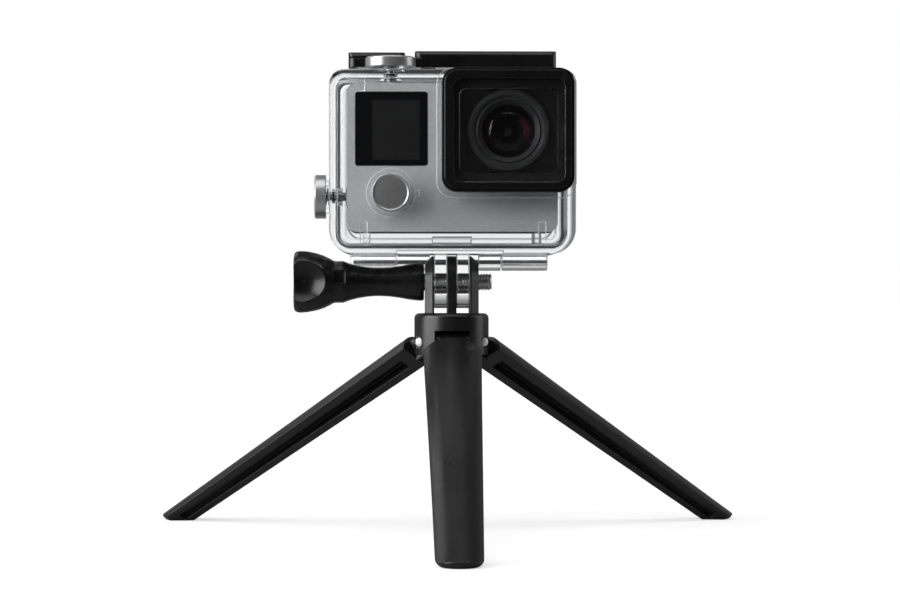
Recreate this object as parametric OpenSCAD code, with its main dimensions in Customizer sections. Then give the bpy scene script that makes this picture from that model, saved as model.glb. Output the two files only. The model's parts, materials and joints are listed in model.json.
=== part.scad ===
// Action camera in a clear dive housing, clamped by a thumb screw to a folding mini tripod.
// Millimetres, +Z up, lens towards -Y, feet on z = 0, origin under the middle of the whole object.
// Heights in the modules are counted from a datum plane foot_drop above the floor; place() lifts them.

/* [Camera] */
// Half width of the camera body
cam_hw = 29.4; // [29:0.1:29.6]
// Underside of the camera body above the datum plane
cam_z0 = 84.0; // [83.9:0.1:84.2]
// Top of the camera body above the datum plane
cam_z1 = 125.3; // [125:0.1:125.4]
// Depth of the camera body behind its front face
cam_depth = 21; // [20.5:0.1:21]
// Radius of the outer lens ring
lens_ring_r = 11.3; // [10.8:0.1:11.4]

/* [Housing] */
// Half width of the clear housing
hs_hw = 34.3; // [34.2:0.1:35]
// Underside of the clear housing above the datum plane
hs_z0 = 77.8; // [77.7:0.1:78]
// Top of the clear housing above the datum plane
hs_z1 = 129.1; // [129:0.1:129.3]
// Wall thickness of the clear housing
wall = 2.2; // [2:0.1:2.2]
// Radius of the two lower corners
corner_low = 7; // [6:0.5:8]
// Radius of the two upper corners
corner_top = 4.2; // [3.5:0.1:5]

/* [Mount] */
// Height of the tilt axis above the datum plane
tilt_z = 70.1; // [70:0.05:70.2]
// End radius of the mount prongs
prong_r = 7.3; // [7:0.1:7.4]
// Radius of the clamp bolt
bolt_r = 2.45; // [2.4:0.01:2.45]
// Radius of the hole for the clamp bolt
bolt_hole_r = 2.5; // [2.5:0.01:2.55]

/* [Tripod] */
// Radius of the hub
hub_r = 10.5; // [10.3:0.1:10.8]
// Height of the leg pivots above the datum plane
pivot_z = 53.2; // [53.1:0.1:53.3]
// Distance of each leg pivot from the hub axis
pivot_r = 6.2; // [6.2:0.05:6.3]
// Length of a leg's blank, before its foot is shaped
leg_len = 109; // [108.5:0.5:110]
// Radius of a leg's round back at its tip
tip_r = 7.85; // [7.7:0.05:8]
// Angle each leg swings out from its folded place
spread = 59.2; // [59:0.1:59.4]

/* [Hidden] */
$fn = 72;

// the tilt axis stands this far behind the middle of the three feet
stance_y = 22.98;
// the soles lie this far below the datum plane
foot_drop = 0.9;

cam_y0 = -10;
cam_y1 = cam_y0 + cam_depth;
sk = 1.5;                       // thickness of the camera's own skins
lens_x = 15.4; lens_z = 111.7;  // lens axis
mode_x = -17.1; mode_z = 94.7;  // front button axis
shut_x = -17.2; shut_y = -4.5;  // top button axis
side_z = 94.1;                  // left button axis, at y = 0
pin_r = 1.2; bore_r = 1.25;     // button pins and their holes
hs_y0 = -12.6; hs_y1 = 11.5;    // front and rear faces of the front shell
port_y = -15.5;                 // front of the clear lens collar
hinge_y = 14.5; hinge_z = 75.8; hinge_r = 2.4;
latch_y = 6.2; latch_z = 132.8;
rod_r = 0.8; rod_hole_r = 0.85; // hinge pins and their running holes
legpin_r = 1.3; leg_hole_r = 1.35;
leg_off = 0.35;                 // a leg's round back stands this far proud of the hub
ridge_x = -4.65; face_a = 57;   // inner ridge of a leg from its pivot, and the half angle of its faces
nose_c = 91.74; nose_r = 6.2; sole_edge = 2.2;  // foot: centre, radius and edge of its round nose

// ---- placing helpers ----
module place() translate([0, stance_y, foot_drop]) children();
// an X-Z outline made solid between two depths
module deep(y0, y1) translate([0, y1, 0]) rotate([90, 0, 0]) linear_extrude(y1 - y0) children();
// a Y-Z outline made solid between two widths
module wide(x0, x1) translate([x0, 0, 0]) rotate([90, 0, 90]) linear_extrude(x1 - x0) children();
module cyl_x(x0, x1, y, z, r) translate([x0, y, z]) rotate([0, 90, 0]) cylinder(h = x1 - x0, r = r);
module cyl_y(y0, y1, x, z, r) translate([x, y1, z]) rotate([90, 0, 0]) cylinder(h = y1 - y0, r = r);
module cyl_z(z0, z1, x, y, r) translate([x, y, z0]) cylinder(h = z1 - z0, r = r);
module block(x0, x1, y0, y1, z0, z1) translate([x0, y0, z0]) cube([x1 - x0, y1 - y0, z1 - z0]);
// rounded rectangle with lower radius a and upper radius b
module rr(x0, x1, z0, z1, a, b) {
  translate([x0 + a, z0]) square([x1 - x0 - 2 * a, z1 - z0 - b]);
  translate([x0 + b, z0 + a]) square([x1 - x0 - 2 * b, z1 - z0 - a]);
  translate([x0, z0 + a]) square([x1 - x0, z1 - z0 - a - b]);
  for (x = [x0 + a, x1 - a]) translate([x, z0 + a]) circle(r = a);
  for (x = [x0 + b, x1 - b]) translate([x, z1 - b]) circle(r = b);
}
// a turned piece about a Y axis, height measured towards the lens side
module turned_y(x, y, z) translate([x, y, z]) rotate([90, 0, 0]) rotate_extrude() children();

// coil spring along +Z from 0 to h, closed at both ends
function coil_h(t, n, h, w) = t < 0.75 ? w : t > n - 0.75 ? h - w : w + (h - 2 * w) * (t - 0.75) / (n - 1.5);
module coil(r, w, h, n, s = 14, k = 6) {
  m = floor(n * s);
  pts = [for (i = [0 : m]) let (t = i / s, a = 360 * t) for (j = [0 : k - 1])
    let (b = 360 * j / k) [(r + w * cos(b)) * cos(a), (r + w * cos(b)) * sin(a), coil_h(t, n, h, w) + w * sin(b)]];
  sides = [for (i = [0 : m - 1]) for (j = [0 : k - 1]) let (q = (j + 1) % k)
    each [[i * k + j, i * k + q, (i + 1) * k + q], [i * k + j, (i + 1) * k + q, (i + 1) * k + j]]];
  polyhedron(points = pts, faces = concat([for (f = sides) [f[2], f[1], f[0]]], [[for (j = [0 : k - 1]) j]], [[for (j = [k - 1 : -1 : 0]) m * k + j]]));
}
module oring() rotate_extrude() translate([1.62, 0]) circle(r = 0.37, $fn = 24);

// ---- camera ----
module cam_outline() rr(-cam_hw, cam_hw, cam_z0, cam_z1, 2.6, 2.6);
module lens_block_outline(g = 0) rr(lens_x - 13.5 - g, lens_x + 13.5 + g, lens_z - 11.6 - g, lens_z + 11.6 + g, 2 + g, 2 + g);
module window_outline(g = 0) rr(-27 - g, -6.9 + g, 102.4 - g, 122.9 + g, 0.8 + g, 0.8 + g);

module camera_body() color([0.42, 0.42, 0.44]) place() difference() {
  deep(cam_y0 + sk, cam_y1 - sk - 0.1) cam_outline();
  deep(cam_y0, cam_y1) rr(-cam_hw + sk, cam_hw - sk, cam_z0 + sk, cam_z1 - sk, 1.4, 1.4);
  cyl_z(cam_z1 - 3, cam_z1 + 1, shut_x, shut_y, 4.1);
  cyl_x(-cam_hw - 1, -cam_hw + 3, 0, side_z, 2.7);
  block(-7, 28, -6, 6, cam_z0 - 1, cam_z0 + 2);
  block(cam_hw - 2, cam_hw + 1, -5.6, 5.6, 89.9, 118.1);
}

module camera_faceplate() color([0.66, 0.66, 0.67]) place() difference() {
  deep(cam_y0, cam_y0 + sk - 0.05) cam_outline();
  deep(cam_y0 - 1, cam_y0 + 3) window_outline(0.1);
  deep(cam_y0 - 1, cam_y0 + 3) lens_block_outline(0.1);
  cyl_y(cam_y0 - 1, cam_y0 + 3, mode_x, mode_z, 4.9);
}

module camera_back_cover() color([0.3, 0.3, 0.32]) place() difference() {
  deep(cam_y1 - sk - 0.05, cam_y1) cam_outline();
  deep(cam_y1 - 0.4, cam_y1 + 1) rr(-21, 21, 90, 120, 1.5, 1.5);
}

module camera_lens_block() color([0.08, 0.08, 0.09]) place() difference() {
  union() {
    deep(-17, cam_y0 + sk) lens_block_outline();
    deep(cam_y0 + sk, cam_y0 + sk + 1.2) rr(lens_x - 14.4, 27.7, 99.2, 123.6, 2, 2);
  }
  cyl_y(-18, 0, lens_x, lens_z, 9.05);
  cyl_y(-18, -15, lens_x, lens_z, lens_ring_r + 0.05);
}

module lens_outer_ring() color([0.15, 0.15, 0.16]) place() turned_y(lens_x, -15, lens_z)
  polygon([[9.05, 0], [lens_ring_r, 0], [lens_ring_r, 2.2], [lens_ring_r - 0.5, 2.7], [9.9, 2.7], [9.05, 2.0]]);

module lens_inner_ring() color([0.1, 0.1, 0.11]) place() turned_y(lens_x, -12.5, lens_z)
  polygon([[7.9, 0], [9, 0], [9, 4.6], [8.6, 4.9], [7.4, 3.4], [7.4, 2.6], [7.9, 2.6]]);

module lens_front_element() color([0.25, 0.12, 0.18, 0.5]) place() intersection() {
  cyl_y(-20, -12.6, lens_x, lens_z, 7.3);
  translate([lens_x, -4.2, lens_z]) sphere(r = 12.1);
  deep(-17.2, -13.3) rr(0, 31, 96, 127, 2, 2);
}

module lens_rear_barrel() color([0.1, 0.1, 0.1]) place() turned_y(lens_x, 0, lens_z)
  polygon([[4.2, 0], [8.9, 0], [8.9, 12.4], [7.6, 12.4], [6.9, 12.2], [3.2, 8.5], [3.2, 3], [4.2, 3]]);

module image_sensor() color([0.12, 0.3, 0.2]) place() {
  block(lens_x - 9, lens_x + 9, 0.8, 2.0, lens_z - 8, lens_z + 8);
  block(lens_x - 3.6, lens_x + 3.6, 0.1, 0.85, lens_z - 3, lens_z + 3);
}

module main_circuit_board() color([0.1, 0.32, 0.2]) place() difference() {
  union() {
    block(-26.6, 26.6, 6.2, 7.2, 87, 122.6);
    block(-22, -10, 5.0, 6.25, 104, 116);
    block(-6, 2, 5.2, 6.25, 106, 114);
    block(-24, -16, 4.4, 6.25, 88.5, 96);
  }
  for (x = [-24.5, 24.5]) for (z = [99, 120.4]) cyl_y(6, 8, x, z, 1);
}

module heat_sink_plate() color([0.75, 0.76, 0.78]) place() difference() {
  block(-25.5, 25.5, 7.7, 8.5, 88, 121.6);
  for (x = [-18 : 6 : 18]) deep(7, 9) rr(x - 1, x + 1, 92, 117, 0.9, 0.9);
}

module battery() color([0.2, 0.22, 0.25]) place() {
  deep(-5.4, 5.0) rr(-5.5, 26.5, 86.4, 100, 1.2, 1.2);
  block(-2, 8, 4.9, 5.3, 88, 90);
}

module display_window() color([0.03, 0.03, 0.04]) place() deep(cam_y0 - 0.15, cam_y0 + 1.3) window_outline();

module lcd_panel() color([0.16, 0.16, 0.17]) place() deep(cam_y0 + 1.4, cam_y0 + 3.2) rr(-23, -8.6, 103.6, 121.2, 0.5, 0.5);

module camera_front_button() color([0.62, 0.62, 0.63]) place() {
  cyl_y(cam_y0 - 0.1, cam_y0 + 1.3, mode_x, mode_z, 4.8);
  cyl_y(cam_y0 + 1.2, cam_y0 + 3, mode_x, mode_z, 2);
}

module camera_top_button() color([0.62, 0.62, 0.63]) place() {
  cyl_z(cam_z1 - 2.2, cam_z1 + 0.4, shut_x, shut_y, 4);
  cyl_z(cam_z1 - 2.7, cam_z1 - 2.1, shut_x, shut_y, 2);
}

module camera_left_button() color([0.3, 0.3, 0.32]) place() {
  cyl_x(-cam_hw - 0.3, -cam_hw + 2, 0, side_z, 2.6);
  cyl_x(-cam_hw + 1.9, -cam_hw + 2.6, 0, side_z, 1.4);
}

module camera_battery_door() color([0.35, 0.35, 0.37]) place() difference() {
  block(-6.9, 27.9, -5.9, 5.9, cam_z0, cam_z0 + 1.9);
  block(20, 25, -3, 3, cam_z0 - 1, cam_z0 + 0.5);
}

module camera_port_cover() color([0.35, 0.35, 0.37]) place() difference() {
  block(cam_hw - 1.9, cam_hw, -5.5, 5.5, 90, 118);
  for (z = [92 : 1 : 95]) block(cam_hw - 0.3, cam_hw + 1, -4, 4, z, z + 0.5);
}

// ---- housing ----
module shell_outline() rr(-hs_hw, hs_hw, hs_z0, hs_z1, corner_low, corner_top);
module finger_outline() { translate([0, tilt_z]) circle(r = 7.4); translate([-7.4, tilt_z]) square([14.8, hs_z0 + 0.6 - tilt_z]); }

module housing_front_shell() color([0.85, 0.88, 0.9, 0.4]) place() difference() {
  union() {
    difference() {
      union() {
        deep(hs_y0, hs_y1) shell_outline();
        deep(port_y, hs_y0 + 0.1) rr(-4.4, hs_hw, 93.3, hs_z1, 4.5, corner_top);
      }
      deep(hs_y0 + wall, hs_y1 + 1) rr(-hs_hw + wall, hs_hw - wall, hs_z0 + 2.6, hs_z1 - wall, 3.4, 2.2);
      deep(port_y - 1, hs_y0 + wall + 0.5) rr(-1.6, 31.8, 95.9, 126.7, 3, 2);
      deep(10.3, hs_y1 + 1) rr(-33, 33, 79.5, 127.8, 4.4, 3);
    }
    // mount fingers and the thick pad they grow from
    for (x = [-4.85, 1.4]) wide(x, x + 3.45) finger_outline();
    block(-5.5, 5.5, -7.4, 7.4, hs_z0 + 1, hs_z0 + 5);
    // ribs that locate the camera
    for (x = [-25.6, 24.1]) block(x, x + 1.9, hs_y0 + wall - 0.2, -10.08, hs_z0 + 2, 86.7);
    block(-26.2, -24.4, hs_y0 + wall - 0.2, -10.08, 123.1, hs_z1 - 1);
    for (x = [-24.9, 23]) block(x, x + 1.9, -8, 8, hs_z0 + 2, cam_z0 - 0.1);
    // bosses for the three push buttons
    cyl_y(-14.6, hs_y0 + 0.2, mode_x, mode_z, 6.8);
    block(mode_x + 6.5, mode_x + 7.9, -13.9, hs_y0 + 0.2, mode_z - 0.8, mode_z + 0.8);
    cyl_z(126.1, hs_z1 - 1, shut_x, shut_y, 3.2);
    cyl_z(hs_z1 - 0.5, hs_z1 + 0.6, shut_x, shut_y, 4.6);
    cyl_x(-hs_hw + 1, -30.7, 0, side_z, 2.5);
    cyl_x(-hs_hw - 1.7, -hs_hw + 0.5, 0, side_z, 4.7);
    // hinge knuckles on the shell's side of the door hinge
    for (k = [[-15.2, -6], [8, 14.4]]) {
      cyl_x(k[0], k[1], hinge_y, hinge_z, hinge_r);
      block(k[0], k[1], 8.2, hinge_y, 74.7, hs_z0 + 0.3);
    }
    // lugs for the latch pin
    for (x = [-8, 21]) {
      cyl_x(x, x + 3, latch_y, latch_z, 1.7);
      wide(x, x + 3) polygon([[latch_y, latch_z - 1.2], [9.4, latch_z - 1.2], [9.4, hs_z1 - 0.5], [11.4, hs_z1 - 0.5],
        [11.4, latch_z + 0.5], [10.7, latch_z + 1.2], [latch_y, latch_z + 1.2]]);
    }
  }
  cyl_x(-6, 6, 0, tilt_z, bolt_hole_r);
  cyl_y(-15, hs_y0, mode_x, mode_z, 5.6);
  cyl_y(-14, -9, mode_x, mode_z, bore_r);
  cyl_y(-11.9, -11.1, mode_x, mode_z, 2);
  cyl_z(hs_z1, hs_z1 + 2, shut_x, shut_y, 3.2);
  cyl_z(125, hs_z1 + 1, shut_x, shut_y, bore_r);
  cyl_z(127.4, 128.2, shut_x, shut_y, 2);
  cyl_x(-hs_hw - 3, -hs_hw, 0, side_z, 3.3);
  cyl_x(-hs_hw - 1, -30, 0, side_z, bore_r);
  cyl_x(-33.6, -32.8, 0, side_z, 2);
  cyl_x(-16, 15, hinge_y, hinge_z, rod_hole_r);
  cyl_x(-9, 25, latch_y, latch_z, rod_hole_r);
}

module housing_back_door() color([0.85, 0.88, 0.9, 0.4]) place() difference() {
  union() {
    difference() {
      union() {
        deep(11.8, 14.2) shell_outline();
        deep(14.1, 16) rr(-29.5, 29.5, 82.5, 124.5, 4, 4);
        block(-27, 27, 12.6, 14.2, hs_z1 - 1, 130.6);
      }
      deep(11, 14.2) rr(-27.6, 27.6, 84.4, 122.6, 2.6, 2.6);
      block(-15.5, 14.7, 11, 17, 70, 78.9);
    }
    difference() {
      deep(9.6, 12) rr(-31.3, 31.3, 81, 126.4, 2.8, 2);
      deep(9, 12.5) rr(-30, 30, 82.4, 125.65, 1.8, 1.4);
    }
    for (k = [[-28.8, -15.5], [14.7, 27.9]]) {
      cyl_x(k[0], k[1], hinge_y, hinge_z, hinge_r);
      block(k[0], k[1], 12.1, 14.2, hinge_z, hs_z0 + 1);
    }
  }
  cyl_x(-27.9, 30, hinge_y, hinge_z, rod_r);
}

module door_gasket() color([0.1, 0.1, 0.1]) place() difference() {
  deep(10.5, 11.8) rr(-32.8, 32.8, 79.7, 127.6, 4.2, 2.8);
  deep(10, 12) rr(-31.35, 31.35, 80.95, 126.45, 2.9, 2.1);
}

module door_hinge_pin() color([0.7, 0.7, 0.72]) place() cyl_x(-27.9, 27.7, hinge_y, hinge_z, rod_r);

module lens_port_bezel() color([0.05, 0.05, 0.05]) place() difference() {
  union() {
    deep(-20.2, port_y) rr(-3.1, 33.4, 94.7, 128.9, 4.3, 4.3);
    deep(-21, -20.1) rr(-2.3, 32.5, 95.6, 128.2, 3.5, 3.5);
  }
  deep(-22, -15) rr(0.2, 30.8, 97.4, 126, 2.4, 2.4);
  deep(-19.6, -15) rr(-0.8, 31.6, 96.4, 127, 3, 3);
}

module lens_port_glass() color([0.7, 0.8, 0.85, 0.25]) place() {
  deep(-19.5, -18.1) rr(-0.7, 31.5, 96.5, 126.9, 2.9, 2.9);
  deep(-20.75, -19.45) rr(0.25, 30.75, 97.45, 125.95, 2.35, 2.35);
}

module lens_port_seal() color([0.08, 0.08, 0.08]) place() difference() {
  deep(-18.05, -15.6) rr(-0.7, 31.5, 96.5, 126.9, 2.9, 2.9);
  deep(-19, -15) lens_block_outline(0.15);
}

// a button cap along +Z with a spring recess and a blind hole for its pin
module cap(r, h, recess_r, recess_h) difference() {
  union() { cylinder(h = h - 0.6, r = r); cylinder(h = h, r = r - 0.6); translate([0, 0, h - 0.6]) cylinder(h = 0.6, r1 = r, r2 = r - 0.6); }
  translate([0, 0, -1]) cylinder(h = recess_h + 1, r = recess_r);
  translate([0, 0, -1]) cylinder(h = h - 0.8 + 1, r = pin_r);
}
module to_up(x, y, z) translate([x, y, z]) children();
module to_front(x, y, z) translate([x, y, z]) rotate([90, 0, 0]) children();
module to_left(x, y, z) translate([x, y, z]) rotate([0, -90, 0]) children();

module shutter_cap() color([0.8, 0.82, 0.84, 0.5]) place() to_up(shut_x, shut_y, 130.3) cap(7.05, 2.8, 5.1, 1.9);
module shutter_pin() color([0.6, 0.6, 0.62]) place() cyl_z(125.8, 132.3, shut_x, shut_y, pin_r);
module shutter_spring() color([0.7, 0.7, 0.7]) place() to_up(shut_x, shut_y, hs_z1 + 0.02) coil(2.3, 0.22, 3.06, 4.25);
module shutter_oring() color([0.1, 0.1, 0.1]) place() to_up(shut_x, shut_y, 127.8) oring();

module mode_cap() color([0.8, 0.82, 0.84, 0.5]) place() to_front(mode_x, -14.0, mode_z) cap(5.2, 2.6, 3.2, 1.2);
module mode_pin() color([0.6, 0.6, 0.62]) place() cyl_y(-15.8, -10.2, mode_x, mode_z, pin_r);
module mode_spring() color([0.7, 0.7, 0.7]) place() to_front(mode_x, hs_y0 - 0.02, mode_z) coil(2.3, 0.22, 2.56, 3.25);
module mode_oring() color([0.1, 0.1, 0.1]) place() to_front(mode_x, -11.5, mode_z) oring();

module side_cap() color([0.8, 0.82, 0.84, 0.5]) place() to_left(-35.4, 0, side_z) cap(6.15, 3.2, 5.1, 1.6);
module side_pin() color([0.5, 0.5, 0.52]) place() cyl_x(-37.8, -29.8, 0, side_z, pin_r);
module side_spring() color([0.7, 0.7, 0.7]) place() to_left(-hs_hw - 0.02, 0, side_z) coil(2.3, 0.22, 2.66, 3.25);
module side_oring() color([0.1, 0.1, 0.1]) place() to_left(-33.2, 0, side_z) oring();

// a bar of the latch: a round-topped section along X, with round corners seen from above
module latch_bar(x0, x1, top, r) intersection() {
  wide(x0, x1) {
    translate([3.3, 131]) square([14, top - r - 131]);
    translate([3.3 + r, 131]) square([14 - 2 * r, top - 131]);
    for (y = [3.3 + r, 17.3 - r]) translate([y, top - r]) circle(r = r);
  }
  translate([0, 0, 130]) linear_extrude(8) rr(x0, x1, 3.3, 17.3, 2.2, 2.2);
}
module latch_lever() color([0.07, 0.07, 0.08]) place() difference() {
  union() {
    latch_bar(-10.3, 29.9, 135.75, 1.6);
    latch_bar(-29.2, -5, 133.8, 0.4);
    cyl_x(-28.6, 29.3, latch_y, latch_z, 1.0);
  }
  block(-9, 28.6, 8.6, 15.9, 130, 134.2);
  block(-28, -11, 8.6, 15.9, 130, 131.9);
  for (x = [-8.4, 20.6]) block(x, x + 3.8, latch_y - 2.05, latch_y + 2.4, 130, 134.8);
  block(-26.3, -17.2, 8.9, 11.1, 132.6, 135);
  cyl_x(-28.2, 28.8, latch_y, latch_z, rod_r);
}

module latch_pin() color([0.7, 0.7, 0.72]) place() cyl_x(-28.2, 28.8, latch_y, latch_z, rod_r);

module latch_lock_slider() color([0.07, 0.07, 0.08]) place() difference() {
  union() {
    intersection() {
      wide(-29.2, -13.1) polygon([[3.3, 133.9], [3.3, 134.3], [3.6, 134.9], [4.2, 135.3], [15.8, 135.3], [16.6, 134.8], [16.6, 133.9]]);
      translate([0, 0, 133.4]) linear_extrude(3) rr(-29.2, -13.1, 3.3, 16.6, 2.1, 2.1);
    }
    block(-26, -20, 9, 11, 132.8, 134);
  }
  for (x = [-26 : 2 : -18]) block(x, x + 0.8, 5, 15, 135, 137);
}

// ---- stand ----
module thumbscrew_handle() color([0.08, 0.08, 0.09]) place() difference() {
  translate([0, 0, tilt_z]) rotate([0, 90, 0]) rotate_extrude() polygon([[0, -44.4], [7.6, -44.4], [8.35, -44.1], [8.75, -43.4],
    [8.9, -42.4], [8.75, -40.6], [8.1, -38], [7.4, -36], [6.6, -34.3], [6.0, -33.3], [5.88, -32.6], [5.88, -30.6], [5.6, -29.8],
    [5.1, -28.4], [4.6, -26.4], [4.2, -24], [4.0, -21.8], [3.97, -20.2], [4.1, -17.6], [4.5, -14.6], [5.0, -11.8], [5.27, -9.6],
    [5.3, -8.3], [5.0, -7.8], [0, -7.8]]);
  for (a = [90, -30, -150]) translate([0, 0, tilt_z]) rotate([a, 0, 0]) translate([-41.5, 0, 13.2]) sphere(r = 8.6);
  cyl_x(-26, 0, 0, tilt_z, bolt_r);
  block(-32.9, -30, -8, -4.3, 69.6, 73.2);
}

module thumbscrew_bolt() color([0.6, 0.6, 0.6]) place() {
  cyl_x(-26, 10.8, 0, tilt_z, bolt_r);
  translate([10.8, 0, tilt_z]) rotate([0, 90, 0]) cylinder(h = 0.5, r1 = bolt_r, r2 = bolt_r - 0.5);
}

module clamp_nut() color([0.7, 0.7, 0.72]) place() difference() {
  translate([5.55, 0, tilt_z]) rotate([0, 90, 0]) cylinder(h = 1.95, r = 4.6, $fn = 6);
  cyl_x(5, 8, 0, tilt_z, bolt_hole_r);
}

module prong(x0, x1) wide(x0, x1) { translate([0, tilt_z]) circle(r = prong_r); translate([-prong_r, 61]) square([2 * prong_r, tilt_z - 61]); }
// an outer prong, with the edges on its outer side taken off
module outer_prong() {
  prong(5, 5.6);
  translate([0, 0, 61]) linear_extrude(tilt_z - 61)
    polygon([[5.2, -prong_r], [5.5, -prong_r], [7.5, 1.8 - prong_r], [7.5, prong_r - 1.8], [5.5, prong_r], [5.2, prong_r]]);
  translate([5.5, 0, tilt_z]) rotate([0, 90, 0]) cylinder(h = 2, r1 = prong_r, r2 = prong_r - 1.8);
}
module around_legs() for (a = [-90, 30, 150]) rotate([0, 0, a]) children();

module tripod_hub() color([0.1, 0.1, 0.11]) place() difference() {
  union() {
    rotate_extrude() polygon([[0, 49.6], [hub_r - 0.3, 49.6], [hub_r, 49.9], [hub_r, 60], [hub_r - 0.12, 60.5], [hub_r - 0.45, 60.95],
      [hub_r - 0.9, 61.22], [hub_r - 1.4, 61.3], [0, 61.3]]);
    prong(-1.25, 1.25);
    outer_prong();
    mirror([1, 0, 0]) outer_prong();
  }
  around_legs() block(3.1, 12, -4.8, 4.8, 49, 56.3);
  // the front leg's hole is blind; the other two run out through the hub's side
  for (a = [-90, 30, 150]) let (half = a < 0 ? 7 : 8.9)
    rotate([0, 0, a]) translate([pivot_r, -half, pivot_z]) rotate([-90, 0, 0]) cylinder(h = 2 * half, r = legpin_r);
  // spot faces that show the front ends of the two rear legs' pins
  for (a = [30, 150]) let (y0 = a < 90 ? -12 : 7.75)
    rotate([0, 0, a]) translate([pivot_r, y0, pivot_z]) rotate([-90, 0, 0]) cylinder(h = 4.25, r = legpin_r + 0.5);
  cyl_x(-8, 8, 0, tilt_z, bolt_hole_r);
  translate([5.5, 0, tilt_z]) rotate([0, 90, 0]) cylinder(h = 3, r = 4.62, $fn = 6);
}

module leg_hinge_pins() color([0.8, 0.8, 0.8]) place() for (a = [-90, 30, 150]) let (half = a < 0 ? 6.9 : 7.9)
  rotate([0, 0, a]) translate([pivot_r, -half, pivot_z]) rotate([-90, 0, 0]) cylinder(h = 2 * half, r = legpin_r);

// a folded leg hanging below its pivot; X outward, Y along the pivot, -Z down the leg
module leg_folded() difference() {
  union() {
    intersection() {
      translate([leg_off - pivot_r, 0, -leg_len]) cylinder(h = leg_len - 5, r1 = tip_r, r2 = hub_r);
      translate([0, 0, -leg_len - 1]) linear_extrude(leg_len) polygon([[ridge_x, 0], [ridge_x + 11, -11 * tan(face_a)], [14, -11 * tan(face_a)],
        [14, 11 * tan(face_a)], [ridge_x + 11, 11 * tan(face_a)]]);
    }
    translate([0, 4.6, 0]) rotate([90, 0, 0]) cylinder(h = 9.2, r = 2.7);
    translate([0, 3.5, 0]) rotate([90, 0, 0]) cylinder(h = 7, r = 2.9);
    block(-2.9, 2.9, -3.5, 3.5, -5.6, 0);
  }
  translate([0, 6, 0]) rotate([90, 0, 0]) cylinder(h = 12, r = leg_hole_r);
  // long pockets in both mating faces
  for (m = [0, 1]) mirror([0, m, 0]) translate([ridge_x, 0, 0]) rotate([0, 0, face_a]) rotate([0.944, 0, 0]) translate([0, 3, 0])
    rotate([90, 0, 0]) linear_extrude(5.95) polygon([[2.7, -9], [6.5, -9], [5.0, -99], [2.1, -99]]);
}
// the space that a foot fills: a nose that is round seen from above, with its lower edge rounded too
module foot_space() {
  translate([-20, -20, -foot_drop]) cube([20 + nose_c, 40, 90]);
  translate([nose_c, 0, -foot_drop]) rotate_extrude() {
    square([nose_r - sole_edge, 18]);
    translate([0, sole_edge]) square([nose_r, 16]);
    translate([nose_r - sole_edge, sole_edge]) circle(r = sole_edge);
  }
}
// a leg standing on the floor
module leg_out() intersection() {
  translate([pivot_r, 0, pivot_z]) rotate([0, -spread, 0]) leg_folded();
  foot_space();
}
module front_leg() color([0.1, 0.1, 0.11]) place() rotate([0, 0, -90]) leg_out();
module right_leg() color([0.1, 0.1, 0.11]) place() rotate([0, 0, 30]) leg_out();
module left_leg() color([0.1, 0.1, 0.11]) place() rotate([0, 0, 150]) leg_out();

camera_body();
camera_faceplate();
camera_back_cover();
camera_lens_block();
lens_outer_ring();
lens_inner_ring();
lens_front_element();
lens_rear_barrel();
image_sensor();
main_circuit_board();
heat_sink_plate();
battery();
display_window();
lcd_panel();
camera_front_button();
camera_top_button();
camera_left_button();
camera_battery_door();
camera_port_cover();
housing_front_shell();
housing_back_door();
door_gasket();
door_hinge_pin();
lens_port_bezel();
lens_port_glass();
lens_port_seal();
shutter_cap();
shutter_pin();
shutter_spring();
shutter_oring();
mode_cap();
mode_pin();
mode_spring();
mode_oring();
side_cap();
side_pin();
side_spring();
side_oring();
latch_lever();
latch_pin();
latch_lock_slider();
thumbscrew_handle();
thumbscrew_bolt();
clamp_nut();
tripod_hub();
leg_hinge_pins();
front_leg();
left_leg();
right_leg();
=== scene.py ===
import json
import math

import bpy
import bmesh
from mathutils import Matrix, Vector


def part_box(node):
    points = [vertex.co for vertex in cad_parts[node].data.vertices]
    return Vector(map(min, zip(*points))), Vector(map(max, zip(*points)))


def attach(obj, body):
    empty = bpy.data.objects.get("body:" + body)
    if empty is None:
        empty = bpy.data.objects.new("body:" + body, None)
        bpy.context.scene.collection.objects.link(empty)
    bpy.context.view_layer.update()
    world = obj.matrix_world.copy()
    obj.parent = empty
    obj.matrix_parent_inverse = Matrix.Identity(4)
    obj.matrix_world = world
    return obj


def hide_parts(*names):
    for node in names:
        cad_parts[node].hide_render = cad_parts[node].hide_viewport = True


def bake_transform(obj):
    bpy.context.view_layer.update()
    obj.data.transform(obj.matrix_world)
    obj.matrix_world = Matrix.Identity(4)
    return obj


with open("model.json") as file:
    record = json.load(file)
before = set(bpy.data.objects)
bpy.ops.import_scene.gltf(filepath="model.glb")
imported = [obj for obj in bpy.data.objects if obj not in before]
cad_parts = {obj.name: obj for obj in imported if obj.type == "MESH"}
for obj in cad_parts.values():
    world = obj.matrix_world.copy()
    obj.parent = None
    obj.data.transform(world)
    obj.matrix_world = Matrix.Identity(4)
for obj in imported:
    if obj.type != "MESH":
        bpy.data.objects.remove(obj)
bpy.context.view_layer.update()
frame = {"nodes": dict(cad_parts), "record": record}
nodes = frame["nodes"]
NODE_BODY = {}
for _b, _members in frame["record"]["behaviour"]["bodies"].items():
    for _n in _members:
        NODE_BODY[_n] = _b

hub_lo, hub_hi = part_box("tripod_hub")
HX, HY = (hub_lo.x + hub_hi.x) / 2, (hub_lo.y + hub_hi.y) / 2  # the hub's axis
MM = 0.001
DROP = 0.9  # the heights below are counted from a plane this far above the floor, as in the CAD source


def P(x, y, z):
    """A point given in mm, with y counted from the hub's axis."""
    return Vector((x * MM, HY + y * MM, (z + DROP) * MM))


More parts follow.
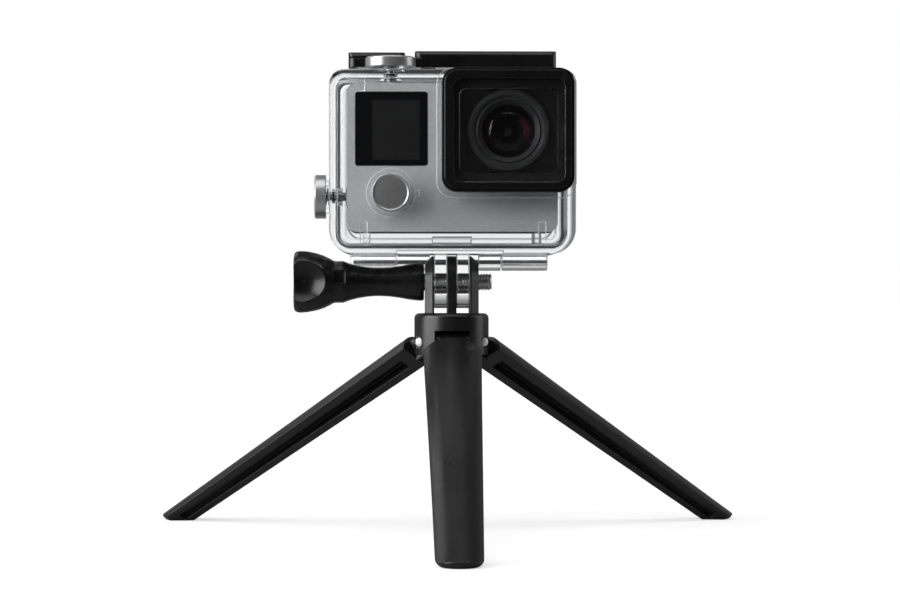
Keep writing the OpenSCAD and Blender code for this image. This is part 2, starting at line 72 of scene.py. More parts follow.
# ------------------------------------------------------------------ camera, light and floor
scene = bpy.context.scene
cam_data = bpy.data.cameras.new("camera")
cam_data.sensor_width = 36.0
cam_data.lens = 101.96
cam_data.clip_start = 0.01
cam_data.clip_end = 20
camera = bpy.data.objects.new("camera", cam_data)
scene.collection.objects.link(camera)
scene.camera = camera
AZ = math.radians(1.25)
DIST = 0.720
camera.location = (HX - DIST * math.sin(AZ), HY - DIST * math.cos(AZ), 0.0659)
camera.rotation_euler = (math.radians(90), 0, -AZ + math.radians(0.034))
scene.view_settings.view_transform = "Standard"
scene.view_settings.look = "None"


def area(name, size, loc, target, power, size_y=None, spread=None):
    d = bpy.data.lights.new(name, "AREA")
    d.energy = power
    d.shape = "RECTANGLE"
    d.size = size
    d.size_y = size_y or size
    if spread:
        d.spread = math.radians(spread)
    o = bpy.data.objects.new(name, d)
    scene.collection.objects.link(o)
    o.location = loc
    o.rotation_euler = (Vector(target) - Vector(loc)).to_track_quat("-Z", "Y").to_euler()
    return o


area("soft_left", 0.95, (-0.90, -0.30, 0.27), (0, 0, 0.08), 13.5, 0.95)
area("soft_right", 0.50, (0.95, 0.15, 0.30), (0, 0, 0.08), 1.6, 0.8)
fill = area("soft_front", 0.9, (-0.30, -1.25, 0.75), (0, 0, 0.09), 6.0, 0.6)
area("soft_top", 1.2, (0.0, -0.24, 0.95), (0, 0.0, 0.05), 4.4, 0.72)
fill.visible_glossy = False
fill.visible_transmission = False
area("soft_back", 0.42, (-0.52, 0.62, 0.70), (0, 0, 0.06), 0.5, 0.42)

# World: the camera sees plain white; glass looks into a band of light; the rest is a soft grey room
world = bpy.data.worlds.new("studio")
scene.world = world
world.use_nodes = True
wt = world.node_tree
wt.nodes.clear()


def wn(kind):
    return wt.nodes.new(kind)


def w_range(value, a, b, lo, hi):
    n = wn("ShaderNodeMapRange")
    n.interpolation_type = "SMOOTHSTEP"
    for k, v in (("From Min", a), ("From Max", b), ("To Min", lo), ("To Max", hi)):
        n.inputs[k].default_value = v
    wt.links.new(value, n.inputs["Value"])
    return n.outputs[0]


def w_bg(strength):
    n = wn("ShaderNodeBackground")
    n.inputs["Color"].default_value = (1, 1, 1, 1)
    if isinstance(strength, float):
        n.inputs["Strength"].default_value = strength
    else:
        wt.links.new(strength, n.inputs["Strength"])
    return n.outputs[0]


def w_mix(fac, a, b):
    n = wn("ShaderNodeMixShader")
    wt.links.new(fac, n.inputs[0])
    wt.links.new(a, n.inputs[1])
    wt.links.new(b, n.inputs[2])
    return n.outputs[0]


w_sep = wn("ShaderNodeSeparateXYZ")
wt.links.new(wn("ShaderNodeTexCoord").outputs["Generated"], w_sep.inputs[0])
w_abs = wn("ShaderNodeMath")
w_abs.operation = "ABSOLUTE"
wt.links.new(w_sep.outputs["Z"], w_abs.inputs[0])
w_lp = wn("ShaderNodeLightPath")
band = w_bg(w_range(w_abs.outputs[0], 0.16, 0.62, 0.98, 0.22))


def w_math(op, a, b):
    n = wn("ShaderNodeMath")
    n.operation = op
    for i, v in enumerate((a, b)):
        if isinstance(v, float):
            n.inputs[i].default_value = v
        else:
            wt.links.new(v, n.inputs[i])
    return n.outputs[0]


room = w_bg(w_math("MULTIPLY", w_range(w_sep.outputs["Y"], -0.7, 0.9, 0.022, 0.22), w_range(w_sep.outputs["Z"], 0.25, 0.8, 1.0, 0.35)))
# light that turned inside a clear wall comes from the bright sides and back, never from the dark front
turned = w_bg(w_range(w_sep.outputs["Y"], -0.65, -0.1, 0.022, 0.92))
w_first = w_math("LESS_THAN", w_math("ADD", w_lp.outputs["Glossy Depth"], w_lp.outputs["Diffuse Depth"]), 0.5)
w_near = w_math("MULTIPLY", w_math("LESS_THAN", w_lp.outputs["Transmission Depth"], 3.5), w_math("LESS_THAN", w_lp.outputs["Diffuse Depth"], 0.5))
inner = w_mix(w_lp.outputs["Is Transmission Ray"], room, w_mix(w_first, w_mix(w_near, room, turned), band))
wt.links.new(w_mix(w_lp.outputs["Is Camera Ray"], inner, w_bg(1.0)), wn("ShaderNodeOutputWorld").inputs[0])


# ------------------------------------------------------------------ materials
class Mat:
    """A node material with a Principled shader, and short helpers to build its procedural detail."""

    def __init__(self, name, color=(0.5, 0.5, 0.5), rough=0.5, metal=0.0, **sockets):
        self.m = bpy.data.materials.new(name)
        self.m.use_nodes = True
        self.t = self.m.node_tree
        self.b = self.t.nodes["Principled BSDF"]
        self.out = self.t.nodes["Material Output"]
        self.b.inputs["Base Color"].default_value = (*color[:3], 1)
        self.b.inputs["Roughness"].default_value = rough
        self.b.inputs["Metallic"].default_value = metal
        for k, v in sockets.items():
            self.b.inputs[k.replace("_", " ")].default_value = v
        self.tc = self.t.nodes.new("ShaderNodeTexCoord")

    def add(self, kind, **props):
        n = self.t.nodes.new(kind)
        for k, v in props.items():
            setattr(n, k, v)
        return n

    def link(self, a, b):
        self.t.links.new(a, b)

    def coords(self, scale=(1, 1, 1)):
        mp = self.add("ShaderNodeMapping")
        mp.inputs["Scale"].default_value = scale
        self.link(self.tc.outputs["Object"], mp.inputs["Vector"])
        return mp.outputs[0]

    def noise(self, scale, detail=3.0, rough=0.55, stretch=(1, 1, 1)):
        n = self.add("ShaderNodeTexNoise")
        n.inputs["Scale"].default_value = scale
        n.inputs["Detail"].default_value = detail
        n.inputs["Roughness"].default_value = rough
        self.link(self.coords(stretch), n.inputs["Vector"])
        return n.outputs["Fac"]

    def span(self, value, lo, hi, a=0.0, b=1.0):
        r = self.add("ShaderNodeMapRange")
        r.inputs["From Min"].default_value = a
        r.inputs["From Max"].default_value = b
        r.inputs["To Min"].default_value = lo
        r.inputs["To Max"].default_value = hi
        self.link(value, r.inputs["Value"])
        return r.outputs[0]

    def math(self, op, a, b=None, c=None):
        n = self.add("ShaderNodeMath", operation=op)
        for i, v in enumerate((a, b, c)):
            if v is None:
                continue
            if isinstance(v, (int, float)):
                n.inputs[i].default_value = v
            else:
                self.link(v, n.inputs[i])
        return n.outputs[0]

    def mix(self, fac, a, b):
        n = self.add("ShaderNodeMix", data_type="RGBA")
        ins = [i for i in n.inputs if i.type == "RGBA"]
        if isinstance(fac, (int, float)):
            n.inputs[0].default_value = fac
        else:
            self.link(fac, n.inputs[0])
        for s, v in zip(ins, (a, b)):
            if isinstance(v, tuple):
                s.default_value = (*v[:3], 1)
            else:
                self.link(v, s)
        return [o for o in n.outputs if o.type == "RGBA"][0]

    def bump(self, height, strength=0.2, dist=0.0001):
        n = self.add("ShaderNodeBump")
        n.inputs["Strength"].default_value = strength
        n.inputs["Distance"].default_value = dist
        self.link(height, n.inputs["Height"])
        self.link(n.outputs[0], self.b.inputs["Normal"])
        return n

    def xyz(self):
        s = self.add("ShaderNodeSeparateXYZ")
        self.link(self.tc.outputs["Object"], s.inputs[0])
        return s.outputs

    def edge(self, lo=0.5, hi=0.62):
        g = self.add("ShaderNodeNewGeometry")
        return self.span(g.outputs["Pointiness"], 0.0, 1.0, lo, hi)


def plastic(name, dark, light, rough=0.42, grain=900.0, bump=0.25, wear=0.25, spec=0.5):
    """Moulded plastic: fine grain, broad tone drift and slightly polished, paler edges."""
    m = Mat(name, dark, rough)
    m.b.inputs["Specular IOR Level"].default_value = spec
    broad = m.noise(35, 2)
    fine = m.noise(grain, 3)
    tone = m.mix(m.span(broad, 0.0, 1.0, 0.3, 0.7), dark, light)
    worn = m.mix(m.math("MULTIPLY", m.edge(0.52, 0.64), wear), tone, tuple(min(1, c * 2.6 + 0.02) for c in light))
    m.link(worn, m.b.inputs["Base Color"])
    m.link(m.span(m.noise(120, 3), rough - 0.035, rough + 0.05, 0.3, 0.7), m.b.inputs["Roughness"])
    m.bump(fine, bump, 0.00004)
    return m.m


def metal(name, color, rough=0.28, stretch=(1, 1, 1), scale=600.0, bump=0.2, metallic=1.0):
    m = Mat(name, color, rough, metallic)
    line = m.noise(scale, 4, 0.6, stretch)
    m.link(m.mix(m.span(line, 0.0, 1.0, 0.3, 0.7), tuple(c * 0.86 for c in color), tuple(min(1, c * 1.08) for c in color)), m.b.inputs["Base Color"])
    m.link(m.span(line, rough - 0.06, rough + 0.08, 0.3, 0.7), m.b.inputs["Roughness"])
    m.bump(line, bump, 0.00003)
    return m.m


def clear(name, tint=(0.97, 0.98, 0.985), rough=0.03, ior=1.45):
    """Clear moulded plastic that lets the lamps through, with faint flow marks and fine scuffs."""
    m = Mat(name, tint, rough)
    m.b.inputs["Transmission Weight"].default_value = 1.0
    m.b.inputs["IOR"].default_value = ior
    m.bump(m.noise(90, 2), 0.05, 0.0002)
    m.link(m.span(m.noise(260, 4), max(0.0, rough - 0.02), rough + 0.05, 0.4, 0.75), m.b.inputs["Roughness"])
    lp = m.add("ShaderNodeLightPath")
    tr = m.add("ShaderNodeBsdfTransparent")
    tr.inputs["Color"].default_value = (0.93, 0.94, 0.95, 1)
    mx = m.add("ShaderNodeMixShader")
    m.link(lp.outputs["Is Shadow Ray"], mx.inputs[0])
    m.link(m.b.outputs[0], mx.inputs[1])
    m.link(tr.outputs[0], mx.inputs[2])
    m.link(mx.outputs[0], m.out.inputs["Surface"])
    return m.m


def clear_edge_painted_highlight():
    """Pale, partly frosted finish on the bevelled corners of the clear moulding: a painted highlight that gathers
    light so the corners read as pale lines.
    """
    m = Mat("clear_edge_painted_highlight", (0.93, 0.94, 0.95), 0.22)
    m.b.inputs["Transmission Weight"].default_value = 0.62
    m.b.inputs["IOR"].default_value = 1.45
    m.link(m.mix(m.noise(140, 2), (0.90, 0.91, 0.92), (0.96, 0.97, 0.975)), m.b.inputs["Base Color"])
    m.bump(m.noise(420, 3), 0.04, 0.00005)
    lp = m.add("ShaderNodeLightPath")
    tr = m.add("ShaderNodeBsdfTransparent")
    tr.inputs["Color"].default_value = (0.85, 0.86, 0.87, 1)
    mx = m.add("ShaderNodeMixShader")
    m.link(lp.outputs["Is Shadow Ray"], mx.inputs[0])
    m.link(m.b.outputs[0], mx.inputs[1])
    m.link(tr.outputs[0], mx.inputs[2])
    m.link(mx.outputs[0], m.out.inputs["Surface"])
    return m.m


M = {}
M["stand_black"] = plastic("stand_plastic", (0.0068, 0.0068, 0.0071), (0.0098, 0.0098, 0.0101), 0.30, 1100, 0.04, 0.2, 0.6)
M["black_plastic"] = plastic("black_plastic", (0.0032, 0.0032, 0.0033), (0.005, 0.005, 0.0052), 0.28, 1300, 0.10, 0.2)
M["camera_grey"] = plastic("camera_case_grey", (0.055, 0.055, 0.057), (0.075, 0.075, 0.078), 0.45, 1500, 0.06, 0.1)
M["camera_dark"] = plastic("camera_case_dark", (0.06, 0.06, 0.063), (0.085, 0.085, 0.09), 0.5, 1500, 0.08, 0.1)
M["lens_black"] = plastic("lens_frame_black", (0.003, 0.003, 0.003), (0.005, 0.005, 0.005), 0.34, 1500, 0.06, 0.15, 0.35)
M["ring_dark"] = plastic("lens_ring_dark", (0.016, 0.016, 0.0165), (0.023, 0.023, 0.0235), 0.42, 1500, 0.12, 0.1, 0.35)
M["seal_rubber"] = plastic("seal_rubber", (0.003, 0.003, 0.003), (0.005, 0.005, 0.005), 0.7, 800, 0.3, 0.05, 0.25)
M["battery_grey"] = plastic("battery_sleeve", (0.03, 0.035, 0.04), (0.05, 0.055, 0.06), 0.5, 900, 0.2)
M["board_green"] = plastic("circuit_board", (0.01, 0.07, 0.035), (0.02, 0.12, 0.06), 0.4, 500, 0.4)
M["heat_aluminium"] = metal("heat_sheet", (0.75, 0.76, 0.78), 0.35, (1, 1, 12))
M["steel"] = metal("bright_steel", (0.72, 0.72, 0.73), 0.24, (0.25, 1, 1), 400, 0.05)
M["pin_steel"] = metal("pin_steel", (0.90, 0.90, 0.91), 0.36, (1, 1, 1), 900, 0.03, 0.35)
M["dark_steel"] = metal("dull_steel", (0.30, 0.30, 0.31), 0.3)
M["cap_steel"] = metal("cap_steel", (0.56, 0.56, 0.57), 0.30, (1, 1, 1), 60, 0.0, 0.8)
M["camera_silver"] = metal("silver_face", (0.60, 0.60, 0.605), 0.42, (1, 1, 5), 900, 0.05, 0.35)
M["clear_plastic"] = clear("clear_plastic", (0.975, 0.98, 0.985), 0.018)
M["seal_clear"] = clear("seal_silicone", (0.93, 0.94, 0.95), 0.30, 1.40)
M["port_glass"] = clear("port_glass", (0.98, 0.985, 0.99), 0.004, 1.42)


def window_material():
    """Gloss black window with the unlit display showing faintly through it."""
    m = Mat("display_window", (0.004, 0.004, 0.0045), 0.12)
    m.b.inputs["Specular IOR Level"].default_value = 0.3
    x, y, z = m.xyz()
    cx, cz, hw, hh = -15.7 * MM, 113.2 * MM, 6.6 * MM, 8.3 * MM
    dx = m.math("ABSOLUTE", m.math("SUBTRACT", x, cx))
    dz = m.math("ABSOLUTE", m.math("SUBTRACT", z, cz))
    inside = m.math("MULTIPLY", m.span(dx, 1.0, 0.0, hw - 0.0003, hw + 0.0003), m.span(dz, 1.0, 0.0, hh - 0.0003, hh + 0.0003))
    m.link(m.mix(inside, (0.0035, 0.0035, 0.004), (0.014, 0.014, 0.0145)), m.b.inputs["Base Color"])
    m.link(m.span(m.noise(300, 3), 0.09, 0.16, 0.3, 0.7), m.b.inputs["Roughness"])
    m.bump(m.noise(900, 2), 0.03, 0.00002)
    return m.m


def lens_glass():
    """Front lens: dark glass that shows the parts behind it."""
    m = Mat("lens_glass", (0.86, 0.84, 0.86), 0.0)
    m.b.inputs["Transmission Weight"].default_value = 1.0
    m.b.inputs["IOR"].default_value = 1.33
    m.link(m.mix(m.noise(60, 2), (0.84, 0.82, 0.85), (0.88, 0.86, 0.88)), m.b.inputs["Base Color"])
    lp = m.add("ShaderNodeLightPath")
    tr = m.add("ShaderNodeBsdfTransparent")
    tr.inputs["Color"].default_value = (0.8, 0.78, 0.8, 1)
    mx = m.add("ShaderNodeMixShader")
    m.link(lp.outputs["Is Shadow Ray"], mx.inputs[0])
    m.link(m.b.outputs[0], mx.inputs[1])
    m.link(tr.outputs[0], mx.inputs[2])
    m.link(mx.outputs[0], m.out.inputs["Surface"])
    return m.m


def lens_inside():
    """Black barrel and inner lenses, with crimson and green glints painted into the base colour as painted reflections
    of their coating.
    """
    m = Mat("lens_inside", (0.004, 0.003, 0.004), 0.3)
    x, y, z = m.xyz()
    dx = m.math("SUBTRACT", x, 15.4 * MM)
    dz = m.math("SUBTRACT", z, LENS_Z)
    r = m.math("SQRT", m.math("ADD", m.math("MULTIPLY", dx, dx), m.math("MULTIPLY", dz, dz)))
    ang = m.math("ARCTAN2", dz, dx)

    # each painted glint is a window in angle and radius where the colour turns crimson or green
    def painted_glint_patch(a0, half, r0, r1, soft):
        near = m.span(m.math("ABSOLUTE", m.math("SUBTRACT", ang, a0)), 1.0, 0.0, half * 0.35, half)
        ring = m.math("MULTIPLY", m.span(r, 0.0, 1.0, r0 * MM, (r0 + soft) * MM), m.span(r, 1.0, 0.0, (r1 - soft) * MM, r1 * MM))
        return m.math("MULTIPLY", near, ring)

    grain = m.span(m.noise(500, 3), 0.45, 1.0, 0.35, 0.65)
    # painted reflections: crimson glints left and right and a faint green one, put into the colour in place of coating
    # glints
    right = m.math("MULTIPLY", painted_glint_patch(0.28, 0.75, 4.6, 6.9, 0.8), grain)
    left = m.math("MULTIPLY", m.math("MAXIMUM", painted_glint_patch(2.85, 0.4, 4.9, 6.8, 0.7), painted_glint_patch(-2.95, 0.25, 5.0, 6.8, 0.7)), grain)
    green = m.math("MULTIPLY", painted_glint_patch(0.05, 0.8, 3.4, 4.8, 0.5), 0.6)
    c = m.mix(green, (0.003, 0.0026, 0.003), (0.010, 0.020, 0.012))
    c = m.mix(m.math("MULTIPLY", left, 0.75), c, (0.085, 0.010, 0.032))
    c = m.mix(right, c, (0.125, 0.014, 0.045))
    pupil = m.span(r, 1.0, 0.0, 1.15 * MM, 1.5 * MM)
    c = m.mix(pupil, c, (0.030, 0.028, 0.031))
    m.link(c, m.b.inputs["Base Color"])
    m.b.inputs["Specular IOR Level"].default_value = 0.3
    m.bump(m.noise(600, 2), 0.02, 0.00002)
    return m.m


LENS_Z = (111.7 + 0.9) * MM
M["window_black"] = window_material()
M["lens_glass"] = lens_glass()
LENS_INSIDE = lens_inside()
M["lcd_grey"] = plastic("lcd_panel", (0.03, 0.03, 0.031), (0.04, 0.04, 0.041), 0.3, 900, 0.1)


def floor_material():
    """White paper sweep: lit near the object, glowing softly to plain white far away."""
    m = Mat("floor_paper", (0.62, 0.62, 0.62), 0.9)
    m.link(m.mix(m.noise(5, 2), (0.61, 0.61, 0.61), (0.64, 0.64, 0.64)), m.b.inputs["Base Color"])
    x, y, z = m.xyz()
    r = m.math("SQRT", m.math("ADD", m.math("MULTIPLY", x, x), m.math("MULTIPLY", y, y)))
    m.b.inputs["Emission Color"].default_value = (1, 1, 1, 1)
    m.link(m.span(r, FLOOR_NEAR, 1.0, 0.12, 0.9), m.b.inputs["Emission Strength"])
    dim = m.add("ShaderNodeBsdfDiffuse")
    behind = m.span(y, 0.0, 1.0, -0.30, 0.0)
    m.link(m.mix(behind, (0.05, 0.05, 0.05), (0.34, 0.34, 0.34)), dim.inputs["Color"])
    lp = m.add("ShaderNodeLightPath")
    first = m.math("LESS_THAN", m.math("ADD", lp.outputs["Glossy Depth"], lp.outputs["Diffuse Depth"]), 0.5)
    near = m.math("MULTIPLY", m.math("LESS_THAN", lp.outputs["Transmission Depth"], 3.5), behind)
    clear_way = m.math("MULTIPLY", lp.outputs["Is Transmission Ray"], m.math("MAXIMUM", first, near))
    mx = m.add("ShaderNodeMixShader")
    m.link(m.math("MAXIMUM", lp.outputs["Is Camera Ray"], clear_way), mx.inputs[0])
    m.link(dim.outputs[0], mx.inputs[1])
    m.link(m.b.outputs[0], mx.inputs[2])
    m.link(mx.outputs[0], m.out.inputs["Surface"])
    return m.m


FLOOR_NEAR = 0.56
bpy.ops.mesh.primitive_plane_add(size=60, location=(0, 0, 0))
floor = bpy.context.object
floor.name = "floor"
floor.data.materials.append(floor_material())

# ------------------------------------------------------------------ CAD nodes: materials and softened edges
SLOT = {s["node"]: s["material_slot"] for s in frame["record"]["subparts"]}
BEVEL = {
    "tripod_hub": 0.16, "front_leg": 0.2, "left_leg": 0.2, "right_leg": 0.2, "thumbscrew_handle": 0.35,
    "housing_front_shell": 0.12, "housing_back_door": 0.34, "latch_lever": 0.3, "latch_lock_slider": 0.2,
    "lens_port_bezel": 0.14, "camera_body": 0.1,
    "camera_back_cover": 0.25, "display_window": 0.1, "camera_battery_door": 0.15, "camera_port_cover": 0.15,
    "shutter_cap": 0.3, "mode_cap": 0.25, "side_cap": 0.3, "camera_front_button": 0.2, "camera_top_button": 0.2,
    "thumbscrew_bolt": 0.15, "clamp_nut": 0.2, "battery": 0.2, "lens_port_glass": 0.1,
}


EDGED = ("housing_front_shell", "housing_back_door")
PAINTED_EDGE_HIGHLIGHT = clear_edge_painted_highlight()
CLAMPED = ()


def sharp_group():
    """Geometry nodes that mark every edge steeper than 36 degrees as sharp."""
    g = bpy.data.node_groups.new("sharp_by_angle", "GeometryNodeTree")
    g.interface.new_socket("Geometry", in_out="INPUT", socket_type="NodeSocketGeometry")
    g.interface.new_socket("Geometry", in_out="OUTPUT", socket_type="NodeSocketGeometry")
    gi, go = g.nodes.new("NodeGroupInput"), g.nodes.new("NodeGroupOutput")
    ang = g.nodes.new("GeometryNodeInputMeshEdgeAngle")
    cmp = g.nodes.new("FunctionNodeCompare")
    cmp.data_type = "FLOAT"
    cmp.operation = "GREATER_THAN"
    cmp.inputs[1].default_value = math.radians(36)
    st = g.nodes.new("GeometryNodeSetShadeSmooth")
    st.domain = "EDGE"
    st.inputs["Shade Smooth"].default_value = False
    g.links.new(ang.outputs["Unsigned Angle"], cmp.inputs[0])
    g.links.new(gi.outputs[0], st.inputs["Geometry"])
    g.links.new(cmp.outputs[0], st.inputs["Selection"])
    g.links.new(st.outputs[0], go.inputs[0])
    return g


SHARP = sharp_group()


def finish_cad(name):
    o = nodes[name]
    o.data.materials.clear()
    o.data.materials.append(M[SLOT[name]])
    w = o.modifiers.new("weld", "WELD")
    w.merge_threshold = 0.000002
    if BEVEL.get(name):
        flat = o.modifiers.new("flat", "DECIMATE")
        flat.decimate_type = "DISSOLVE"
        flat.angle_limit = math.radians(0.6)
        b = o.modifiers.new("bevel", "BEVEL")
        b.width = BEVEL[name] * MM
        b.segments = 3
        b.limit_method = "ANGLE"
        b.angle_limit = math.radians(60)
        b.use_clamp_overlap = name in CLAMPED
        b.harden_normals = False
        # the clear shells' bevel faces get the pale finish that paints a highlight along their edges
        if name in EDGED:
            o.data.materials.append(PAINTED_EDGE_HIGHLIGHT)
            b.material = 1
    for p in o.data.polygons:
        p.use_smooth = True
    sh = o.modifiers.new("sharp", "NODES")
    sh.node_group = SHARP
    n = o.modifiers.new("weighted", "WEIGHTED_NORMAL")
    n.keep_sharp = True


for _n in nodes:
    finish_cad(_n)


# ------------------------------------------------------------------ pieces built here in place of CAD stand-ins
def new_object(name, bm, mat, body, *replaced):
    bmesh.ops.recalc_face_normals(bm, faces=bm.faces)
    me = bpy.data.meshes.new(name)
    bm.to_mesh(me)
    bm.free()
    for p in me.polygons:
        p.use_smooth = True
    o = bpy.data.objects.new(name, me)
    bpy.context.scene.collection.objects.link(o)
    o.data.materials.append(mat)
    w = o.modifiers.new("weighted", "WEIGHTED_NORMAL")
    w.keep_sharp = True
    if body:
        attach(o, body)
    if replaced:
        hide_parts(*replaced)
    return o


def sharpen(bm, angle=32):
    lim = math.radians(angle)
    for e in bm.edges:
        if len(e.link_faces) == 2 and e.calc_face_angle(0) > lim:
            e.smooth = False


def lathe(bm, profile, place, seg=96):
    """Turns a closed profile of (radius, height) about the local Z axis, then places it."""
    rings = []
    for r, h in profile:
        if r < 1e-9:
            rings.append([bm.verts.new(place @ Vector((0, 0, h * MM)))])
        else:
            rings.append([bm.verts.new(place @ Vector((r * MM * math.cos(2 * math.pi * i / seg), r * MM * math.sin(2 * math.pi * i / seg), h * MM))) for i in range(seg)])
    n = len(rings)
    closed = len(rings[0]) > 1 and len(rings[-1]) > 1
    for k in range(n if closed else n - 1):
        a, b = rings[k], rings[(k + 1) % n]
        for i in range(seg):
            j = (i + 1) % seg
            if len(a) == 1:
                bm.faces.new((a[0], b[i], b[j]))
            elif len(b) == 1:
                bm.faces.new((a[i], b[0], a[j]))
            else:
                bm.faces.new((a[i], b[i], b[j], a[j]))


def arc(cx, cy, r, a0, a1, n=6):
    return [(cx + r * math.cos(math.radians(a0 + (a1 - a0) * i / n)), cy + r * math.sin(math.radians(a0 + (a1 - a0) * i / n))) for i in range(n + 1)]


def dome(r0, r1, h0, rise, n=8):
    """A shallow crowned face from radius r1 in to r0, whose middle stands rise above the edge."""
    return [(r1 + (r0 - r1) * i / n, h0 + rise * (1 - ((r1 + (r0 - r1) * i / n) / r1) ** 2)) for i in range(n + 1)]


def button_cap(name, r, h, recess_r, recess_h, place, body, node, e=0.55):
    """Pressed steel cap: crowned top in a thin raised rim, rolled edge, hollow underneath."""
    prof = [(1.2, h - 0.8), (recess_r - 3.0, recess_h + 0.25), (recess_r - 0.3, recess_h + 0.05), (recess_r, recess_h - 0.2), (recess_r, 0.12), (recess_r + 0.12, 0.0), (r - 0.16, 0.0)]
    prof = [(0.0, h - 0.8)] + prof
    prof += arc(r - 0.16, 0.16, 0.16, -90, 0, 3)
    prof += arc(r - e, h - e, e, 0, 90, 7)
    g = 0.64 * e
    prof += [(r - e - g, h), (r - e - g - 0.15, h - 0.06)]
    prof += [(a, b) for a, b in dome(0.0, r - e - g - 0.27, h - 0.22, 0.16, 10)]
    bm = bmesh.new()
    lathe(bm, prof, place)
    sharpen(bm, 40)
    o = new_object(name, bm, M["cap_steel"], body, node)
    return o


UP = Matrix.Translation(P(-17.2, -4.5, 130.3))
FRONT = Matrix.Translation(P(-17.1, -14.0, 94.7)) @ Matrix.Rotation(math.radians(90), 4, "X")
LEFT = Matrix.Translation(P(-35.4, 0, 94.1)) @ Matrix.Rotation(math.radians(-90), 4, "Y")
button_cap("shutter_button_cap", 7.05, 2.8, 5.1, 1.9, UP, "shutter_button", "shutter_cap")
button_cap("mode_button_cap", 5.2, 2.6, 3.6, 1.2, FRONT, "mode_button", "mode_cap", 0.16)
button_cap("side_button_cap", 6.15, 3.2, 5.1, 1.6, LEFT, "side_button", "side_cap")


def coil_spring(name, r, w, h, n, place, node):
    """Return spring under a cap, with closed ends."""
    bm = bmesh.new()
    per, sides = 36, 10
    rings = []
    for i in range(int(n * per) + 1):
        t = i / per
        a = 2 * math.pi * t
        up = w if t < 0.75 else h - w if t > n - 0.75 else w + (h - 2 * w) * (t - 0.75) / (n - 1.5)
        ring = []
        for j in range(sides):
            b = 2 * math.pi * j / sides
            c = r + w * math.cos(b)
            ring.append(bm.verts.new(place @ Vector((c * math.cos(a) * MM, c * math.sin(a) * MM, (up + w * math.sin(b)) * MM))))
        rings.append(ring)
    for a, b in zip(rings, rings[1:]):
        for j in range(sides):
            k = (j + 1) % sides
            bm.faces.new((a[j], a[k], b[k], b[j]))
    bm.faces.new(rings[0])
    bm.faces.new(rings[-1])
    sharpen(bm, 50)
    o = new_object(name, bm, M["steel"], None, node)
    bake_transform(o)


coil_spring("shutter_return_spring", 2.3, 0.22, 3.06, 4.25, Matrix.Translation(P(-17.2, -4.5, 129.12)), "shutter_spring")
coil_spring("mode_return_spring", 2.3, 0.22, 2.56, 3.25, Matrix.Translation(P(-17.1, -12.62, 94.7)) @ Matrix.Rotation(math.radians(90), 4, "X"), "mode_spring")
coil_spring("side_return_spring", 2.3, 0.22, 2.66, 3.25, Matrix.Translation(P(-34.32, 0, 94.1)) @ Matrix.Rotation(math.radians(-90), 4, "Y"), "side_spring")


def threaded_bolt():
    """Clamp bolt with a real helical thread along the part that passes the prongs."""
    seg, pitch, r_out, depth = 40, 0.8, 2.45, 0.42
    x0, x1, xs = -26.0, 11.3, -7.4
    bm = bmesh.new()
    steps = [x0, x0 + 0.3]
    x = xs
    steps.append(xs - 0.2)
    fine = pitch / 8
    while x < x1 - 1e-6:
        steps.append(x)
        x += fine
    steps.append(x1)
    rings = []
    for sx in steps:
        ring = []
        for i in range(seg):
            a = 2 * math.pi * i / seg
            if sx < xs:
                r = r_out - 0.02
            else:
                t = ((sx - xs) / pitch - i / seg) % 1.0
                w = abs(t - 0.5) * 2
                cut = depth * min(1.0, max(0.0, (w - 0.12) / 0.76))
                cut *= min(1.0, (sx - xs) / 0.8)
                r = r_out - 0.01 - cut
            end = max(0.0, sx - (x1 - 0.55))
            r = min(r, r_out - end * 0.95)
            if sx <= x0 + 1e-9:
                r = r_out - 0.3
            ring.append(bm.verts.new(P(sx, r * math.cos(a), 70.1 + r * math.sin(a))))
        rings.append(ring)
    for a, b in zip(rings, rings[1:]):
        for i in range(seg):
            j = (i + 1) % seg
            bm.faces.new((a[i], b[i], b[j], a[j]))
    bm.faces.new(rings[0])
    bm.faces.new(rings[-1])
    sharpen(bm, 38)
    o = new_object("clamp_bolt_threaded", bm, M["steel"], "thumb_screw", "thumbscrew_bolt")
    return o


threaded_bolt()



def hinge_pins():
    """Three turned steel pins with domed ends and a fine groove near each end."""
    bm = bmesh.new()
    e = 1.3
    for turn, cut in ((0, 1.0), (120, 0.0), (240, 0.0)):
        hinge_pin(bm, e, turn, cut)
    sharpen(bm, 40)
    o = new_object("leg_pins_turned", bm, M["pin_steel"], "tripod", "leg_hinge_pins")


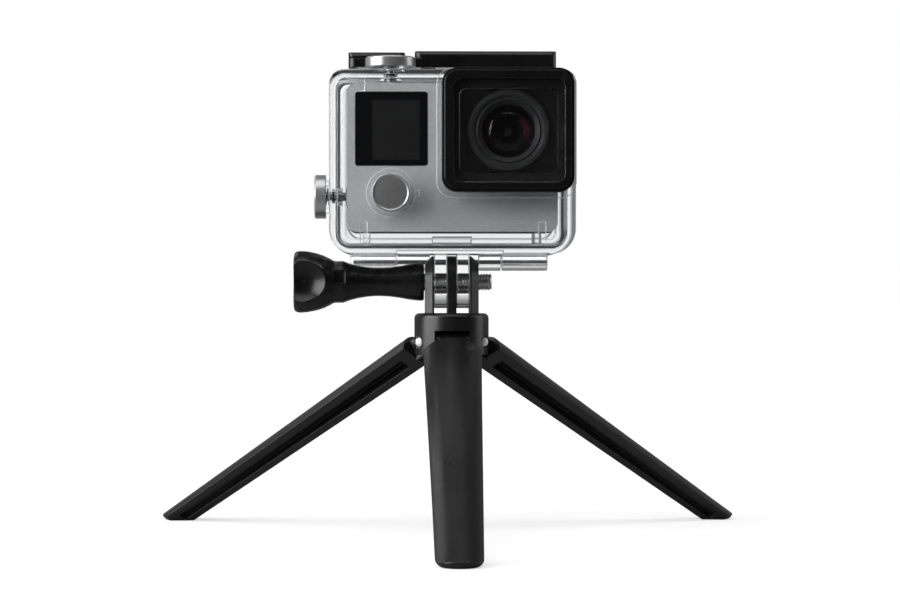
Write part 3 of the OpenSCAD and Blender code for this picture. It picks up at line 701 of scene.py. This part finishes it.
def hinge_pin(bm, e, turn, cut):
    """One pin along its leg's pivot; cut shortens both ends."""
    end = [(e - 0.02, 7.05), (e - 0.02, 7.5), (e - 0.06, 7.62), (e - 0.16, 7.7)] + [(1.14 * (1 - i / 5), 7.7 + 0.2 * (1 - (1 - i / 5) ** 2)) for i in range(1, 6)]
    half = [(e, 6.90), (e - 0.10, 6.94), (e - 0.10, 7.01)] + end
    half = [(r, h - cut) for r, h in half]
    prof = [(r, -h) for r, h in reversed(half)] + half
    spin = Matrix.Translation(P(0, 0, 53.2)) @ Matrix.Rotation(math.radians(turn), 4, "Z") @ Matrix.Translation((0, -6.2 * MM, 0)) @ Matrix.Rotation(math.radians(90), 4, "Y")
    lathe(bm, prof, spin, 64)


hinge_pins()
LENS = Matrix.Translation(P(15.4, 0, 111.7)) @ Matrix.Rotation(math.radians(90), 4, "X")


def lens_parts():
    """Crowned front lens, and the stepped barrel with its small inner lens behind it."""
    bm = bmesh.new()
    prof = [(0.0, 13.5), (6.6, 13.5), (6.9, 13.6), (7.25, 13.85)]
    top = []
    for i in range(15):
        r = 7.25 * (1 - i / 14)
        top.append((r, 4.2 + math.sqrt(12.05 ** 2 - r * r)))
    prof += top
    prof[-1] = (0.0, prof[-1][1])
    lathe(bm, prof, LENS)
    sharpen(bm, 50)
    front = new_object("front_lens", bm, M["lens_glass"], "housing", "lens_front_element")
    bm = bmesh.new()
    prof = [(0.0, 0.2), (4.2, 0.2), (8.9, 0.2), (8.9, 12.4), (7.75, 12.4), (7.4, 12.3)]
    # terraced baffle going back to the inner lens
    r, h = 7.2, 12.3
    for k in range(5):
        prof += [(r, h), (r - 0.08, h - 0.32), (r - 0.62, h - 0.42)]
        r -= 0.70
        h -= 0.44
    prof += [(3.62, h + 0.1), (3.45, h + 0.38), (3.25, h + 0.40)]
    prof += [(3.1 * (1 - i / 8), h + 0.25 + 0.85 * (1 - (1 - i / 8) ** 2)) for i in range(9)]
    lathe(bm, prof, LENS)
    sharpen(bm, 34)
    back = new_object("lens_barrel", bm, LENS_INSIDE, "housing", "lens_rear_barrel")


lens_parts()
